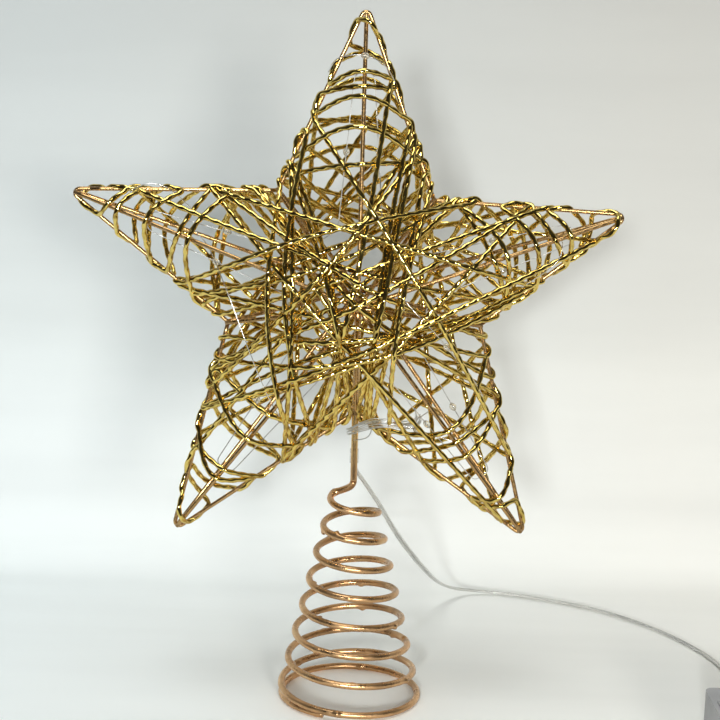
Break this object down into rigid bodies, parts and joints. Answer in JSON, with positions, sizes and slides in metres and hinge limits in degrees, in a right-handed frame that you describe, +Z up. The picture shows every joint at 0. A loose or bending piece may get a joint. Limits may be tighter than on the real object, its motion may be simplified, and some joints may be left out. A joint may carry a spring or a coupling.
{
  "type": "tree topper star",
  "caption": "Wire-frame star wound with gold cord on a conical wire spring that slips over a tree's tip, with micro lights fed by a lead from a battery box.",
  "frame": {"origin": "centre of the spring's foot, on the surface that it stands on", "axes": "+X to the right and +Y to the back as the star is seen from the front, +Z up along the stem"},
  "size_m": [0.2625, 0.2216, 0.253],
  "materials": {
    "frame_gold": "satin",
    "cord_gold": "gloss",
    "stem_gold": "satin",
    "copper_wire": "satin",
    "light_wire": "satin",
    "clear_resin": "gloss",
    "clear_sleeve": "gloss",
    "clear_lead": "gloss",
    "box_plastic": "matte",
    "dark_plastic": "matte",
    "cell_wrap": "satin",
    "contact_metal": "satin"
  },
  "bodies": {
    "base": {"spring_foot": "copper_wire", "spring_base": "copper_wire", "lead": "clear_lead", "battery_case": "box_plastic", "left_cell": "cell_wrap", "right_cell": "cell_wrap", "bridge_contact": "contact_metal", "positive_contact": "contact_metal", "negative_contact": "contact_metal", "switch_body": "dark_plastic", "lead_gland": "dark_plastic"},
    "star": {"back_hub": "frame_gold", "front_hub": "frame_gold", "lower_left_arm_bent_wire": "frame_gold", "lower_left_arm_straight_wire": "frame_gold", "lower_left_back_ridge_wire": "frame_gold", "lower_left_back_valley_wire": "frame_gold", "lower_left_front_ridge_wire": "frame_gold", "lower_left_front_valley_wire": "frame_gold", "lower_right_arm_bent_wire": "frame_gold", "lower_right_arm_straight_wire": "frame_gold", "lower_right_back_ridge_wire": "frame_gold", "lower_right_back_valley_wire": "frame_gold", "lower_right_front_ridge_wire": "frame_gold", "lower_right_front_valley_wire": "frame_gold", "top_arm_bent_wire": "frame_gold", "top_arm_straight_wire": "frame_gold", "top_back_ridge_wire": "frame_gold", "top_back_valley_wire": "frame_gold", "top_front_ridge_wire": "frame_gold", "top_front_valley_wire": "frame_gold", "upper_left_arm_bent_wire": "frame_gold", "upper_left_arm_straight_wire": "frame_gold", "upper_left_back_ridge_wire": "frame_gold", "upper_left_back_valley_wire": "frame_gold", "upper_left_front_ridge_wire": "frame_gold", "upper_left_front_valley_wire": "frame_gold", "upper_right_arm_bent_wire": "frame_gold", "upper_right_arm_straight_wire": "frame_gold", "upper_right_back_ridge_wire": "frame_gold", "upper_right_back_valley_wire": "frame_gold", "upper_right_front_ridge_wire": "frame_gold", "upper_right_front_valley_wire": "frame_gold", "stem": "stem_gold", "gold_cord": "cord_gold", "light_wire": "light_wire", "light_beads": "clear_resin", "splice_sleeve": "clear_sleeve"},
    "cover": {"battery_cover": "box_plastic"},
    "switch": {"switch_knob": "dark_plastic"}
  },
  "joints": [
    {"name": "spring_press", "type": "slide", "parent": "base", "child": "star", "axis": [0, 0, 1], "range_m": [-0.02, 0], "stiffness_N_per_m": 800, "springref_m": 0.0005, "deforming": ["spring_base", "lead"]},
    {"name": "cover_slide", "type": "slide", "parent": "base", "child": "cover", "axis": [0, -1, 0], "range_m": [0, 0.05]},
    {"name": "switch_slide", "type": "slide", "parent": "base", "child": "switch", "axis": [1, 0, 0], "range_m": [0, 0.0035]}
  ]
}
